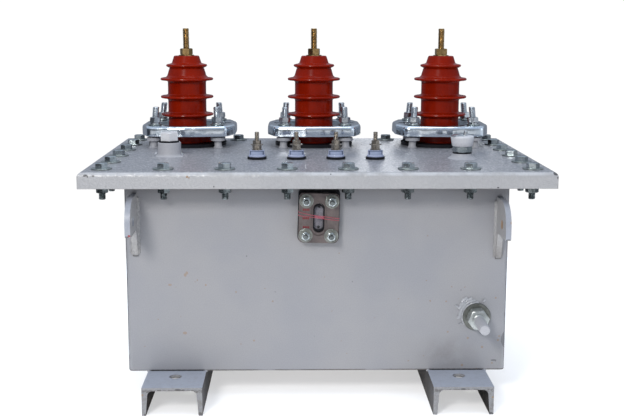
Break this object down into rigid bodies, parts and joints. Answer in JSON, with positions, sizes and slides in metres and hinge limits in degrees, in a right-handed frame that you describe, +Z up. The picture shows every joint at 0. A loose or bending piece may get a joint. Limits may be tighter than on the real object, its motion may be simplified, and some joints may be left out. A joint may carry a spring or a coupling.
{
  "type": "combined metering transformer",
  "caption": "Oil-filled grey steel tank on channel feet with a bolted folded cover, ribbed red high voltage bushings, small secondary studs, level gauge and drain spout.",
  "frame": {"origin": "on the floor, under the middle of the tank and of the cover", "axes": "+X to the right along the row of bushings, +Y to the back, +Z up; the gauge and drain spout face -Y"},
  "size_m": [0.78, 0.58, 0.629],
  "materials": {
    "paint_grey": "satin",
    "epoxy_red": "gloss",
    "zinc_bright": "polished",
    "zinc_dull": "satin",
    "brass": "satin",
    "nickel": "satin",
    "white_resin": "satin",
    "rubber": "matte",
    "dark_metal": "matte",
    "clear_glass": "clear"
  },
  "bodies": {
    "root": {"foot_left": "paint_grey", "foot_right": "paint_grey", "front_wall": "paint_grey", "back_wall": "paint_grey", "left_wall": "paint_grey", "right_wall": "paint_grey", "tank_floor": "paint_grey", "tank_rim": "paint_grey", "cover_gasket": "rubber", "cover": "paint_grey", "hv_bushing_left": "epoxy_red", "hv_bushing_middle": "epoxy_red", "hv_bushing_right": "epoxy_red", "hv_clamp_left": "zinc_bright", "hv_clamp_middle": "zinc_bright", "hv_clamp_right": "zinc_bright", "hv_studs_left": "zinc_dull", "hv_studs_middle": "zinc_dull", "hv_studs_right": "zinc_dull", "hv_terminal_left": "brass", "hv_terminal_middle": "brass", "hv_terminal_right": "brass", "lv_insulator_1": "white_resin", "lv_insulator_2": "white_resin", "lv_insulator_3": "white_resin", "lv_insulator_4": "white_resin", "lv_terminal_1": "nickel", "lv_terminal_2": "nickel", "lv_terminal_3": "nickel", "lv_terminal_4": "nickel", "top_gaskets": "rubber", "filler_neck": "paint_grey", "filler_plug": "paint_grey", "breather_neck": "paint_grey", "breather_nut": "zinc_dull", "breather_cap": "paint_grey", "gauge_gasket": "rubber", "gauge_frame": "dark_metal", "gauge_plate": "white_resin", "gauge_glass": "clear_glass", "gauge_studs": "zinc_dull", "lug_front_left": "paint_grey", "lug_front_right": "paint_grey", "lug_back_left": "paint_grey", "lug_back_right": "paint_grey", "drain_valve": "zinc_dull"}
  },
  "joints": []
}
